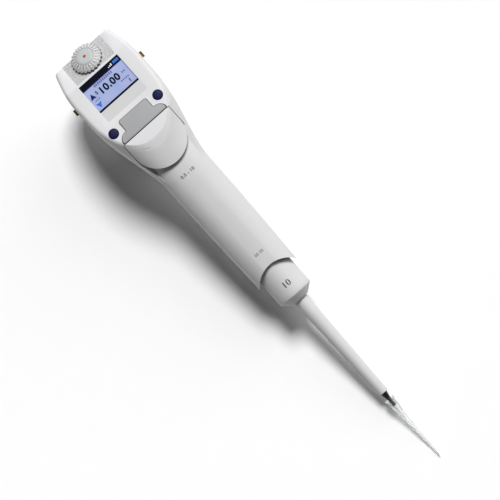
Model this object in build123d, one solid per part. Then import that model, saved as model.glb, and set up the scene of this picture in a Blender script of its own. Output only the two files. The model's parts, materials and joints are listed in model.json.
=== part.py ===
from build123d import *
from math import atan, cos, degrees, pi, radians, sin, tan
import os

# Electronic single-channel pipette, 0.5 to 10 microlitres, with a tip fitted.
# Working frame, in millimetres: X across, the front faces -Y, Z runs up the
# pipette's axis from the open end of the tip. The finished pieces are laid on
# their back at the end, so that the heel and the tip's end touch the surface.

# ---------------------------------------------------------------- dimensions
TIP_LENGTH = 40.0
TIP_END_RADIUS = 0.42
TIP_HUB_RADIUS = 2.75
TIP_SHOULDER = 30.0
TIP_HUB_BOTTOM = 33.6
TIP_FINS = 8
NOZZLE_END = 35.3
NOZZLE_END_RADIUS = 1.1
NOZZLE_NECK = 40.5
NOZZLE_NECK_RADIUS = 1.25
NOZZLE_SHOULDER = 44.6
NOZZLE_RADIUS = 2.1
NOZZLE_BORE = 0.7

SLEEVE_BOTTOM = 44.1
SLEEVE_BOTTOM_RADIUS = 2.75
SLEEVE_TOP_RADIUS = 4.0
COLLAR_BOTTOM = 108.7
COLLAR_CHAMFER_TOP = 112.5
COLLAR_TOP = 144.0
COLLAR_RADIUS = 10.1
COLLAR_BORE_RADIUS = 8.7
COLLAR_FLOOR = 2.6

HANDLE_BOTTOM = 122.0
GRIP_FRONT = 12.0
GRIP_HEIGHT = 125.0
GRIP_LEAN = 0.0165
ARCH_TOP = 132.5
ARCH_RADIUS = 14.9
WALL = 1.8
SPLIT_Y = -8.3
BEZEL_BOTTOM = 225.8
BEZEL_SETBACK = 0.9
BEZEL_CORNER = 10.0
BEZEL_DEPTH = 6.5
RIM_ROUNDING = 2.4
HEAD_TOP = 279.4
GAP = 0.3

FACE_START = 227.7
FACE_FRONT = -14.5
FACE_LEAN = 13.0
CREASE = 266.0
FACET_LEAN = 31.0

ROCKER_TOP_Z = 238.1
ROCKER_NOTCH_Z = 231.6
ROCKER_HALF_WIDTH = 9.1
ROCKER_WING = 14.45
ROCKER_FOOT = -0.5
ROCKER_CORNER = 1.2
ROCKER_WING_CORNER = 0.9
ROCKER_PROUD = 0.7
ROCKER_THICKNESS = 2.9
ROCKER_GAP = 0.35
ROCKER_PIVOT_UP = 4.6
ROCKER_PIVOT_DEPTH = 3.6
ROCKER_PIN_RADIUS = 0.75

EJECTOR_STROKE = 9.0
EJECTOR_HALF_WIDTH = 15.2
EJECTOR_ROUNDING = 1.0
EJECTOR_TOP = ROCKER_FOOT - ROCKER_GAP
CREST_THICKNESS = 1.2
WEB_HALF_WIDTH = 4.0
WEB_Z = (214.2, 222.2)
ROD_HALF_WIDTH = 3.6
ROD_Y = (-10.0, -8.7)
EJECTOR_ARC_CENTRE = 218.4
EJECTOR_BACK = SPLIT_Y - GAP
SADDLE_HALF_WIDTH = 14.0
SADDLE_FRONT = 13.0

PISTON_RADIUS = 0.5
PISTON_STROKE = 12.7
PISTON_END = 37.0
PISTON_PLATE = 131.0
CYLINDER_TOP = 152.0
CYLINDER_RADIUS = 6.5
CHAMBER_RADIUS = 5.3
CHAMBER_FLOOR = 119.0
SEAL_FLOOR = 116.5

SCREW_RADIUS = 1.5
SCREW_BOTTOM = 154.0
RUNNING = 0.03
NUT_BOTTOM = 160.0
NUT_HEIGHT = 8.0
MOTOR_BOTTOM = 188.5
MOTOR_TOP = 206.5
MOTOR_RADIUS = 7.5
ROTOR_RADIUS = 4.6
CHASSIS_BACK = 11.5
CHASSIS_PLATE = 2.0

SCREW_SEATS = {158.0: 13.6, 200.0: 15.2}
SCREW_HEAD_RADIUS = 2.0
SCREW_SHANK_RADIUS = 1.05

DIAL_RADIUS = 8.7
DIAL_RIM = 1.6
DIAL_SHOULDER_RADIUS = 8.0
DIAL_TOP_RADIUS = 4.8
DIAL_TOP = 3.4
DIAL_UP = 8.9
DIAL_SHAFT_RADIUS = 1.9
SCALLOPS = 24
KEY_RADIUS = 2.7
KEY_SPACING = 15.0
KEY_Z = 235.1
DISPLAY_HALF_WIDTH = 13.15
DISPLAY_Z = (247.5, 265.0)
STRIP_Z = (241.2, 247.5)
PANEL_HALF_WIDTH = 12.85
STRIP_HALF_WIDTH = 13.1

HEEL_Z = 222.0
HEEL_DEPTH = 36.0
HOOK_HALF_WIDTH = 11.0
FINGER_RADIUS = 7.0
FINGER_CENTRE = (24.0, 219.0)

DOOR_HALF_WIDTH = 12.0
DOOR_BOTTOM = 240.0
DOOR_BACK = 18.6
CONTACT_Z = 257.0
CONTACT_SIZE = 3.4
CONTACT_END = 23.4
CONTACT_Y = (0.0, 3.0)

TILT = atan((HEEL_DEPTH - TIP_END_RADIUS) / HEEL_Z)

# Body sections: height, half-width, depth to the front, depth to the back,
# and the exponent of the rounded-square outline.
BODY = [
    (HANDLE_BOTTOM, 12.4, 12.4, 13.0, 2.2),
    (150.0, 13.2, 12.7, 15.0, 2.3),
    (175.0, 13.6, 12.9, 16.4, 2.4),
    (197.0, 13.8, 13.1, 17.2, 2.4),
    (208.0, 15.4, 14.2, 17.8, 2.5),
    (218.0, 17.8, 15.8, 18.6, 2.7),
    (230.0, 20.4, 17.6, 19.6, 3.0),
    (243.0, 21.9, 19.4, 20.2, 3.2),
    (257.0, 22.0, 20.0, 20.2, 3.2),
    (268.0, 21.0, 20.2, 20.0, 3.2),
    (281.0, 17.0, 20.4, 19.4, 3.2),
]
# The ejector's outer skin: proud of the handle below, flush with the head above.
EJECTOR_SKIN = [
    (190.0, 14.8, 14.6, 17.4, 2.5),
    (208.0, 16.2, 15.4, 17.8, 2.5),
    (218.0, 18.0, 16.1, 18.6, 2.7),
] + BODY[6:]


# ------------------------------------------------------------------- helpers
def section(height, half_width, front, back, power, inset=0.0, points=36):
    """A closed rounded-square outline at one height, drawn in by the inset."""
    outline = []
    for i in range(points):
        angle = 2 * pi * i / points + pi / 2
        depth = (back if sin(angle) > 0 else front) - inset
        reach = (
            (abs(cos(angle)) / (half_width - inset)) ** power
            + (abs(sin(angle)) / depth) ** power
        ) ** (-1 / power)
        outline.append((reach * cos(angle), reach * sin(angle), height))
    return make_face(Spline(*outline, periodic=True))


def slopes(heights, values):
    """Slopes that keep a smooth curve from overshooting its points."""
    steps = []
    for i in range(len(heights) - 1):
        steps.append((values[i + 1] - values[i]) / (heights[i + 1] - heights[i]))
    inner_slopes = []
    for before, after in zip(steps, steps[1:]):
        level = before * after <= 0
        inner_slopes.append(0.0 if level else 2 * before * after / (before + after))
    return [steps[0]] + inner_slopes + [steps[-1]]


def station_at(stations, height):
    """The section's measures at any height, by a smooth curve through the stations."""
    heights = [station[0] for station in stations]
    i = max(k for k in range(len(heights) - 1) if heights[k] <= height + 1e-6)
    span = heights[i + 1] - heights[i]
    t = (height - heights[i]) / span
    measures = [height]
    for column in range(1, 5):
        values = [station[column] for station in stations]
        slope = slopes(heights, values)
        start = (1 + 2 * t) * (1 - t) ** 2 * values[i] + t * (1 - t) ** 2 * span * slope[i]
        end = t * t * (3 - 2 * t) * values[i + 1] + t * t * (t - 1) * span * slope[i + 1]
        measures.append(start + end)
    return measures


def skin(stations, inset=0.0, step=7.5):
    """The closed body through sections spaced evenly along the stations."""
    low = stations[0][0]
    high = stations[-1][0]
    count = round((high - low) / step)
    heights = [low + (high - low) * k / count for k in range(count + 1)]
    return loft([section(*station_at(stations, height), inset=inset) for height in heights])


def block(x, y, z):
    """A box from pairs of limits."""
    centre = Pos((x[0] + x[1]) / 2, (y[0] + y[1]) / 2, (z[0] + z[1]) / 2)
    return centre * Box(x[1] - x[0], y[1] - y[0], z[1] - z[0])


def rod(radius, low, high, bore=0.0):
    """A round bar or tube on the pipette's axis."""
    bar = Pos(0, 0, (low + high) / 2) * Cylinder(radius, high - low)
    if bore:
        bar = bar - Pos(0, 0, (low + high) / 2) * Cylinder(bore, high - low + 2)
    return bar


def turned(outline):
    """A solid of revolution about the axis from (radius, height) points."""
    profile = Polyline(*[(radius, 0, height) for radius, height in outline], close=True)
    return revolve(make_face(profile), Axis.Z)


def slab(plane, outline, low, high):
    """An outline on a plane, made solid between two heights above the plane."""
    return plane * Pos(0, 0, low) * extrude(outline, high - low)


def largest(shape):
    """The main solid, without slivers that a cut leaves behind."""
    return Part() + max(shape.solids(), key=lambda solid: solid.volume)


def group(pieces):
    """Separate solids kept together in one node."""
    return Compound(children=list(pieces))


def coil(radius, wire, low, high, turns):
    """A compression spring on the axis, with its wire inside the two ends."""
    height = high - low - 2 * wire
    path = Pos(0, 0, low + wire) * Helix(height / turns, height, radius)
    start = Plane(origin=path @ 0, z_dir=path % 0)
    return sweep(start * Circle(wire), path, is_frenet=True)


def up_face(height):
    """Distance up the leaning face for a height on the axis."""
    return (height - FACE_START) / cos(radians(FACE_LEAN))


def face_y(height):
    """Depth of the leaning face at a height."""
    return FACE_FRONT + (height - FACE_START) * tan(radians(FACE_LEAN))


FACE = Plane(
    origin=(0, FACE_FRONT, FACE_START),
    x_dir=(1, 0, 0),
    z_dir=(0, -cos(radians(FACE_LEAN)), sin(radians(FACE_LEAN))),
)
FACET = Plane(
    origin=(0, face_y(CREASE), CREASE),
    x_dir=(1, 0, 0),
    z_dir=(0, -cos(radians(FACET_LEAN)), sin(radians(FACET_LEAN))),
)


def behind_face(inset=0.0, top=HEAD_TOP):
    """Everything behind the face and the dial's facet, moved back by the inset."""
    lean = radians(FACE_LEAN)
    steep = radians(FACET_LEAN)
    shift = inset / cos(lean)
    crease = CREASE + (shift - inset / cos(steep)) / (tan(steep) - tan(lean))
    crease_y = face_y(crease) + shift
    top_y = face_y(CREASE) + (top - CREASE) * tan(steep) + inset / cos(steep)
    low = 100.0
    side = Polyline(
        (0, face_y(low) + shift, low), (0, crease_y, crease), (0, top_y, top),
        (0, 40, top), (0, 40, low), close=True,
    )
    return extrude(make_face(side), 40, dir=(1, 0, 0), both=True)


def softened(shape, rounding):
    """The body with its face's rim and its top edges rounded over."""
    edges = []
    for edge in shape.edges():
        points = [edge @ place for place in (0.1, 0.5, 0.9)]
        curved = edge.geom_type != GeomType.LINE
        for plane in (FACE, FACET):
            if curved and all(abs((point - plane.origin).dot(plane.z_dir)) < 0.02 for point in points):
                edges.append(edge)
        if all(abs(point.Z - HEAD_TOP) < 0.02 for point in points):
            edges.append(edge)
    return Part() + shape.fillet(rounding, edges)


def bezel_outline():
    """The bezel's front view: set in from the body's sides, with round lower corners."""
    stations = [station for station in BODY if station[0] > BEZEL_BOTTOM + BEZEL_CORNER]
    start = stations[0][1] - BEZEL_SETBACK - BEZEL_CORNER
    corner = []
    for turn in (0, 30, 60):
        x = start + BEZEL_CORNER * sin(radians(turn))
        corner.append((x, BEZEL_BOTTOM + BEZEL_CORNER * (1 - cos(radians(turn)))))
    side = [(station[1] - BEZEL_SETBACK, station[0]) for station in stations]
    right = Spline(*corner, *side)
    left = mirror(right, Plane.YZ)
    bottom = Line(left @ 0, right @ 0)
    top = Line(left @ 1, right @ 1)
    return make_face([bottom, right, top, left])


def rocker_outline(grow=0.0):
    """The hat-shaped key: a rounded top, two notches and two rounded wings."""
    top = up_face(ROCKER_TOP_Z)
    notch = up_face(ROCKER_NOTCH_Z)
    crown = Pos(0, (top + ROCKER_FOOT) / 2) * RectangleRounded(
        2 * ROCKER_HALF_WIDTH, top - ROCKER_FOOT, ROCKER_CORNER
    )
    edge = Line((-ROCKER_WING, ROCKER_FOOT), (ROCKER_WING, ROCKER_FOOT))
    edge += ThreePointArc((ROCKER_WING, ROCKER_FOOT), (13.2, 2.7), (ROCKER_HALF_WIDTH, notch))
    edge += Line((ROCKER_HALF_WIDTH, notch), (-ROCKER_HALF_WIDTH, notch))
    edge += ThreePointArc((-ROCKER_HALF_WIDTH, notch), (-13.2, 2.7), (-ROCKER_WING, ROCKER_FOOT))
    brim = make_face(edge)
    ends = [vertex for vertex in brim.vertices() if vertex.Y < ROCKER_FOOT + 0.1]
    brim = fillet(ends, ROCKER_WING_CORNER)
    outline = crown + brim
    return offset(outline, grow) if grow else outline


def ejector_outline(grow=0.0, drop=0.0):
    """The U-shaped front view of the ejector button, with room for its stroke."""
    reach = EJECTOR_HALF_WIDTH + grow
    low = EJECTOR_ARC_CENTRE - drop
    sides = Pos(0, (low + FACE_START) / 2) * Rectangle(2 * reach, FACE_START - low)
    above = Pos(0, FACE_START + reach) * Rectangle(2 * reach, 2 * reach)
    return Plane.XZ * (Pos(0, low) * Circle(reach) + sides - above)


# ------------------------------------------------------------ shared volumes
outer = softened(skin(BODY) & behind_face(), RIM_ROUNDING)
inner = skin(BODY, WALL) & behind_face(WALL, HEAD_TOP - WALL)
bezel_zone = extrude(Plane.XZ * bezel_outline(), 40, both=True) - behind_face(BEZEL_DEPTH, 310)
cover_half_width = EJECTOR_HALF_WIDTH + GAP
front_zone = block((-cover_half_width, cover_half_width), (-40, SPLIT_Y), (100, FACE_START + 2)) - bezel_zone
arch = Pos(0, 0, ARCH_TOP - ARCH_RADIUS) * Rot(90, 0, 0) * Cylinder(ARCH_RADIUS, 80)
saddle = extrude(section(180, SADDLE_HALF_WIDTH, SADDLE_FRONT, 20, 2.4), 60)
saddle_bore = extrude(section(100, SADDLE_HALF_WIDTH - WALL, SADDLE_FRONT - WALL, 18, 2.4), 140)
crest_zone = slab(FACE, Pos(0, -20) * Rectangle(80, 40), -CREST_THICKNESS, 5)
door_zone = block((-DOOR_HALF_WIDTH, DOOR_HALF_WIDTH), (DOOR_BACK, 30), (DOOR_BOTTOM, 300))


# --------------------------------------------------------------- the housing
def front_cover():
    shell = (outer & front_zone) - (inner & saddle_bore) - arch
    pocket = extrude(ejector_outline(GAP, EJECTOR_STROKE), 40)
    pocket = pocket - block((-60, 60), (EJECTOR_BACK + GAP, 60), (0, 400)) - saddle
    slot_half_width = WEB_HALF_WIDTH + 0.6
    slot_z = (WEB_Z[0] - EJECTOR_STROKE - 0.6, WEB_Z[1] + 0.6)
    slot = block((-slot_half_width, slot_half_width), (-30, -8), slot_z)
    grip = Plane(origin=(0, -GRIP_FRONT, GRIP_HEIGHT), x_dir=(1, 0, 0), z_dir=(0, -1, -GRIP_LEAN))
    flat = slab(grip, Rectangle(60, 200), 0, 10)
    return largest(shell - pocket - slot - flat)


def rear_housing():
    shell = largest(outer - inner - front_zone - bezel_zone - arch)
    door_hole = block(
        (-DOOR_HALF_WIDTH - 0.15, DOOR_HALF_WIDTH + 0.15), (17, 30), (DOOR_BOTTOM - 0.15, 300)
    )
    for side in (-1, 1):
        hole = Box(6, CONTACT_Y[1] - CONTACT_Y[0] + 0.2, CONTACT_SIZE + 0.2)
        shell = shell - Pos(side * 21, sum(CONTACT_Y) / 2, CONTACT_Z) * hole
    for height, seat in SCREW_SEATS.items():
        depth = seat + 1.3
        boss = Pos(0, (CHASSIS_BACK + depth) / 2, height) * Rot(90, 0, 0)
        shell = shell + boss * Cylinder(3.4, depth - CHASSIS_BACK)
        shell = shell - Pos(0, 14, height) * Rot(90, 0, 0) * Cylinder(SCREW_SHANK_RADIUS + 0.05, 20)
        head_room = Pos(0, seat + 5, height) * Rot(90, 0, 0) * Cylinder(SCREW_HEAD_RADIUS + 0.1, 10)
        shell = shell - head_room
    return largest(shell - door_hole)


def housing_screws():
    screws = []
    for height, seat in SCREW_SEATS.items():
        head = Pos(0, seat + 0.6, height) * Rot(90, 0, 0) * Cylinder(SCREW_HEAD_RADIUS, 1.2)
        reach = seat - CHASSIS_BACK + CHASSIS_PLATE
        shank = Pos(0, seat - reach / 2, height) * Rot(90, 0, 0) * Cylinder(SCREW_SHANK_RADIUS, reach)
        socket = Pos(0, seat + 1.0, height) * Rot(90, 0, 0) * Cylinder(0.8, 0.8)
        screws.append(head + shank - socket)
    return group(screws)


def face_bezel():
    shell = largest((outer - inner) & bezel_zone)
    centre = (up_face(DISPLAY_Z[0]) + up_face(DISPLAY_Z[1])) / 2
    height = up_face(DISPLAY_Z[1]) - up_face(DISPLAY_Z[0])
    window = Pos(0, centre) * Rectangle(2 * DISPLAY_HALF_WIDTH, height)
    strip_centre = (up_face(STRIP_Z[0]) + up_face(STRIP_Z[1])) / 2
    strip_height = up_face(STRIP_Z[1]) - up_face(STRIP_Z[0])
    strip = Pos(0, strip_centre) * Rectangle(2 * STRIP_HALF_WIDTH, strip_height)
    shell = shell - slab(FACE, window, -5, 2) - slab(FACE, strip, -0.6, 2)
    shell = shell - slab(FACE, rocker_outline(ROCKER_GAP), -5, 2)
    for side in (-1, 1):
        key = Pos(side * KEY_SPACING, up_face(KEY_Z)) * Circle(KEY_RADIUS + 0.15)
        shell = shell - slab(FACE, key, -5, 2)
        flange = Pos(side * KEY_SPACING, up_face(KEY_Z)) * Circle(KEY_RADIUS + 1.0)
        shell = shell - slab(FACE, flange, -8, -1.9)
    panel = Pos(0, 10) * Rectangle(2 * PANEL_HALF_WIDTH, 20 - 0.6)
    shell = shell - slab(FACET, panel, -0.7, 4)
    shell = shell - slab(FACET, Pos(0, DIAL_UP) * Circle(2.2), -6, 4)
    below_rocker = Pos(0, ROCKER_FOOT - 20) * Rectangle(2 * cover_half_width, 40)
    return largest(shell - slab(FACE, below_rocker, -40, 5))


def finger_hook():
    """The rest that hangs over the index finger, with the heel at its back."""
    def heel_y(height):
        return TIP_END_RADIUS + height * tan(TILT)

    side = Polyline(
        (0, 14, 237), (0, 29, 236), (0, heel_y(230.5), 230.5), (0, heel_y(211), 211),
        (0, 32, 207.5), (0, 30, 209.5), (0, 30, 200), (0, 14, 200), close=True,
    )
    body = extrude(make_face(side), HOOK_HALF_WIDTH, dir=(1, 0, 0), both=True)
    finger = Pos(0, *FINGER_CENTRE) * Rot(0, 90, 0) * Cylinder(FINGER_RADIUS, 60)
    below = block((-30, 30), (10, FINGER_CENTRE[0] + FINGER_RADIUS), (190, FINGER_CENTRE[1]))
    return body - finger - below - skin(BODY)


def battery_cover():
    return (outer & door_zone)


# -------------------------------------------------------------- face details
def display_window():
    centre = (up_face(DISPLAY_Z[0]) + up_face(DISPLAY_Z[1])) / 2
    height = up_face(DISPLAY_Z[1]) - up_face(DISPLAY_Z[0])
    return slab(FACE, Pos(0, centre) * Rectangle(2 * DISPLAY_HALF_WIDTH, height), -1.2, -0.15)


def display_module():
    centre = (up_face(DISPLAY_Z[0]) + up_face(DISPLAY_Z[1])) / 2
    return slab(FACE, Pos(0, centre) * Rectangle(27.5, 17.6), -4.2, -1.9) + slab(
        FACE, Pos(0, centre) * Rectangle(26.0, 17.2), -1.9, -1.2
    )


def display_strip():
    centre = (up_face(STRIP_Z[0]) + up_face(STRIP_Z[1])) / 2
    height = up_face(STRIP_Z[1]) - up_face(STRIP_Z[0])
    return slab(FACE, Pos(0, centre) * Rectangle(2 * STRIP_HALF_WIDTH, height), -0.6, -0.05)


def dial_panel():
    plate = slab(FACET, Pos(0, 10) * Rectangle(2 * PANEL_HALF_WIDTH, 20 - 0.6), -0.7, -0.05)
    return (plate & outer) - slab(FACET, Pos(0, DIAL_UP) * Circle(2.2), -6, 4)


def selector_dial():
    rim = Circle(DIAL_RADIUS)
    for i in range(SCALLOPS):
        angle = 2 * pi * i / SCALLOPS
        rim -= Pos((DIAL_RADIUS + 0.35) * cos(angle), (DIAL_RADIUS + 0.35) * sin(angle)) * Circle(0.85)
    disc = slab(FACET, Pos(0, DIAL_UP) * rim, GAP, DIAL_RIM)
    cone = Cone(DIAL_SHOULDER_RADIUS, DIAL_TOP_RADIUS, DIAL_TOP - DIAL_RIM)
    disc = disc + FACET * Pos(0, DIAL_UP, (DIAL_RIM + DIAL_TOP) / 2) * cone
    return disc + slab(FACET, Pos(0, DIAL_UP) * Circle(DIAL_SHAFT_RADIUS), -4.5, GAP)


def dial_encoder():
    body = slab(FACET, Pos(0, DIAL_UP - 1.5) * RectangleRounded(11, 10, 0.5), -7.2, -2.6)
    return body - slab(FACET, Pos(0, DIAL_UP) * Circle(1.95), -5.0, 4)


def soft_key(side):
    place = Pos(side * KEY_SPACING, up_face(KEY_Z))
    cap = slab(FACE, place * Circle(KEY_RADIUS), -2.4, 0.35)
    flange = slab(FACE, place * Circle(KEY_RADIUS + 0.7), -3.0, -2.2)
    stem = slab(FACE, place * Circle(1.3), -5.0, -3.0)
    return cap + flange + stem


def rocker_key():
    cap = slab(FACE, rocker_outline(), ROCKER_PROUD - ROCKER_THICKNESS, ROCKER_PROUD)
    lugs = slab(FACE, Pos(0, ROCKER_PIVOT_UP) * Rectangle(14, 3), -5.0, -2.2)
    for up in (2.0, 8.4):
        lugs = lugs + slab(FACE, Pos(0, up) * Circle(1.1), -4.6, -2.2)
    return cap + lugs - rocker_bore()


def rocker_bore():
    hole = Rot(0, 90, 0) * Cylinder(ROCKER_PIN_RADIUS + RUNNING, 60)
    return FACE * Pos(0, ROCKER_PIVOT_UP, -ROCKER_PIVOT_DEPTH) * hole


def rocker_pin():
    pin = Rot(0, 90, 0) * Cylinder(ROCKER_PIN_RADIUS, 20)
    return FACE * Pos(0, ROCKER_PIVOT_UP, -ROCKER_PIVOT_DEPTH) * pin


def pin_brackets():
    """Two eyes that carry the rocker's pin on the circuit board."""
    eyes = []
    for side in (-1, 1):
        plate = slab(FACE, Pos(side * 8.8, ROCKER_PIVOT_UP) * Rectangle(2, 3.2), -6.2, -2.45)
        eyes.append(plate - rocker_pin())
    return group(eyes)


def circuit_board():
    return slab(FACE, Pos(0, 19.8) * RectangleRounded(31, 36.4, 1), -7.4, -6.2)


def key_switches():
    switches = []
    key_up = up_face(KEY_Z)
    places = ((-KEY_SPACING + 1, key_up, -5.8), (KEY_SPACING - 1, key_up, -5.8))
    for x, up, top in places + ((0, 1.8, -4.85), (0, 8.6, -4.85)):
        switches.append(slab(FACE, Pos(x, up) * Rectangle(2.8, 1.8), -6.2, top))
    return group(switches)


def buzzer():
    return slab(FACE, Pos(0, 33) * Circle(4.5), -9.9, -7.4)


def battery():
    return block((-11, 11), (9.4, 15.4), (242, 270)) & outer


def battery_tray():
    shell = block((-12.2, 12.2), (8.0, 16.4), (240.4, 272))
    shell = shell - block((-11.1, 11.1), (9.3, 20), (241.9, 270.5))
    return shell & inner


def battery_contacts():
    tabs = []
    for x in (-6, 6):
        tabs.append(block((x - 1.5, x + 1.5), (10.5, 14.5), (270.0, 270.5)))
    return group(tabs)


def charge_contact(side):
    half = CONTACT_SIZE / 2
    pad = block((19.2, CONTACT_END), CONTACT_Y, (CONTACT_Z - half, CONTACT_Z + half))
    return pad if side > 0 else mirror(pad, Plane.YZ)


# ------------------------------------------------------------------- ejector
def ejector_cap():
    """The thumb button's hood, wrapped round the saddle behind it."""
    hood = softened(skin(EJECTOR_SKIN) & behind_face(), EJECTOR_ROUNDING) & extrude(ejector_outline(), 40)
    hood = hood & block((-40, 40), (-40, EJECTOR_BACK), (190, 240))
    hood = hood - slab(FACE, Pos(0, EJECTOR_TOP + 20) * Rectangle(80, 40), -40, 5)
    clear = section(180, SADDLE_HALF_WIDTH + GAP, SADDLE_FRONT + GAP, 20, 2.4)
    return hood - extrude(clear, 60)


def ejector_button():
    web = block((-WEB_HALF_WIDTH, WEB_HALF_WIDTH), (-14.6, -8.8), WEB_Z)
    return largest(ejector_cap() - crest_zone + web)


def ejector_crest():
    """The white top of the button, level with the face."""
    return largest(ejector_cap() & crest_zone)


def ejector_rod():
    return block((-ROD_HALF_WIDTH, ROD_HALF_WIDTH), ROD_Y, (COLLAR_TOP, WEB_Z[0]))


def ejector_collar():
    outline = [
        (SLEEVE_TOP_RADIUS, COLLAR_BOTTOM), (5.4, COLLAR_BOTTOM), (COLLAR_RADIUS, COLLAR_CHAMFER_TOP),
        (COLLAR_RADIUS - 0.15, COLLAR_TOP), (6.85, COLLAR_TOP), (6.85, COLLAR_TOP - 2),
        (COLLAR_BORE_RADIUS, COLLAR_TOP - 2), (COLLAR_BORE_RADIUS, COLLAR_BOTTOM + COLLAR_FLOOR + 2),
        (SLEEVE_TOP_RADIUS, COLLAR_BOTTOM + COLLAR_FLOOR),
    ]
    return turned(outline)


def ejector_sleeve():
    top = COLLAR_BOTTOM + COLLAR_FLOOR
    outline = [
        (2.3, SLEEVE_BOTTOM), (SLEEVE_BOTTOM_RADIUS, SLEEVE_BOTTOM), (SLEEVE_TOP_RADIUS, COLLAR_BOTTOM),
        (SLEEVE_TOP_RADIUS, top), (3.35, top), (3.35, 97), (2.3, 95),
    ]
    return turned(outline)


def ejector_spring():
    return coil(7.6, 0.4, 117.0, COLLAR_TOP - 2, 9)


# -------------------------------------------------------- liquid-side pieces
def tip_cone():
    outline = [
        (NOZZLE_BORE, NOZZLE_END), (NOZZLE_END_RADIUS, NOZZLE_END), (NOZZLE_NECK_RADIUS, NOZZLE_NECK),
        (NOZZLE_RADIUS, NOZZLE_SHOULDER), (NOZZLE_RADIUS, 102),
        (3.0, 104), (3.0, 115), (8.2, 115), (8.2, 117), (CYLINDER_RADIUS, 117),
        (CYLINDER_RADIUS, CYLINDER_TOP), (CHAMBER_RADIUS, CYLINDER_TOP), (CHAMBER_RADIUS, CHAMBER_FLOOR),
        (2.0, CHAMBER_FLOOR), (2.0, SEAL_FLOOR), (NOZZLE_BORE, SEAL_FLOOR),
    ]
    return turned(outline)


def pipette_tip():
    """A clear cone with a finned hub and a thin wall, open at both ends."""
    taper = (NOZZLE_NECK_RADIUS - NOZZLE_END_RADIUS) / (NOZZLE_NECK - NOZZLE_END)
    mouth = NOZZLE_END_RADIUS + taper * (TIP_LENGTH - NOZZLE_END)
    outline = [
        (TIP_END_RADIUS - 0.16, 0), (TIP_END_RADIUS, 0), (1.55, TIP_SHOULDER), (2.1, TIP_HUB_BOTTOM),
        (2.2, TIP_LENGTH - 1.6), (TIP_HUB_RADIUS, TIP_LENGTH - 1.4), (TIP_HUB_RADIUS, TIP_LENGTH),
        (mouth + RUNNING, TIP_LENGTH), (NOZZLE_END_RADIUS + RUNNING, NOZZLE_END),
        (1.0, TIP_SHOULDER), (0.7, 18),
    ]
    tip = turned(outline)
    fin = block((1.9, 2.6), (-0.16, 0.16), (TIP_HUB_BOTTOM + 0.6, TIP_LENGTH - 1.5))
    for i in range(TIP_FINS):
        tip = tip + Rot(0, 0, 360 / TIP_FINS * i) * fin
    return tip


def piston():
    return rod(PISTON_RADIUS, PISTON_END, PISTON_PLATE)


def piston_plate():
    return rod(4.9, PISTON_PLATE, PISTON_PLATE + 2)


def piston_seal():
    return rod(1.95, SEAL_FLOOR, CHAMBER_FLOOR, PISTON_RADIUS + 0.02)


def piston_spring():
    return coil(4.2, 0.3, CHAMBER_FLOOR, PISTON_PLATE, 5)


def push_rod():
    tube = rod(3.0, PISTON_PLATE + 2, NUT_BOTTOM)
    return tube - rod(1.8, 140, NUT_BOTTOM + 1)


def drive_nut():
    body = rod(6.0, NUT_BOTTOM, NUT_BOTTOM + NUT_HEIGHT)
    body = body + block((-2, 2), (4, 9.2), (NUT_BOTTOM, NUT_BOTTOM + NUT_HEIGHT))
    return body - rod(SCREW_RADIUS + RUNNING, NUT_BOTTOM - 1, NUT_BOTTOM + NUT_HEIGHT + 1)


# --------------------------------------------------------------------- drive
def lead_screw():
    return rod(SCREW_RADIUS, SCREW_BOTTOM, MOTOR_TOP - 0.6)


def motor_rotor():
    return rod(ROTOR_RADIUS, MOTOR_BOTTOM + 3, MOTOR_TOP - 3, SCREW_RADIUS)


def motor_case():
    case = rod(MOTOR_RADIUS, MOTOR_BOTTOM, MOTOR_TOP)
    case = case - rod(5.0, MOTOR_BOTTOM + 2.4, MOTOR_TOP - 2.4)
    return case - rod(3.0, MOTOR_BOTTOM - 1, MOTOR_TOP - 0.5)


def motor_bearings():
    lower = rod(3.0, MOTOR_BOTTOM, MOTOR_BOTTOM + 2.2, SCREW_RADIUS + RUNNING)
    upper = rod(3.0, MOTOR_TOP - 2.2, MOTOR_TOP - 0.5, SCREW_RADIUS + RUNNING)
    return group([lower, upper])


def chassis():
    """The back plate with the shelves that hold the cylinder and the motor."""
    plate = block((-6.5, 6.5), (CHASSIS_BACK - CHASSIS_PLATE, CHASSIS_BACK), (CYLINDER_TOP, 224))
    shelf = block((-6.5, 6.5), (-7.5, CHASSIS_BACK - 1), (CYLINDER_TOP, CYLINDER_TOP + 2))
    shelf = shelf - rod(3.4, CYLINDER_TOP - 1, CYLINDER_TOP + 3)
    mount = block((-7.5, 7.5), (-7.5, CHASSIS_BACK - 1), (MOTOR_BOTTOM - 2, MOTOR_BOTTOM))
    mount = mount - rod(2.4, MOTOR_BOTTOM - 3, MOTOR_BOTTOM + 1)
    frame = plate + shelf + mount
    for height in SCREW_SEATS:
        frame = frame - Pos(0, CHASSIS_BACK, height) * Rot(90, 0, 0) * Cylinder(1.15, 6)
    return frame


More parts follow.
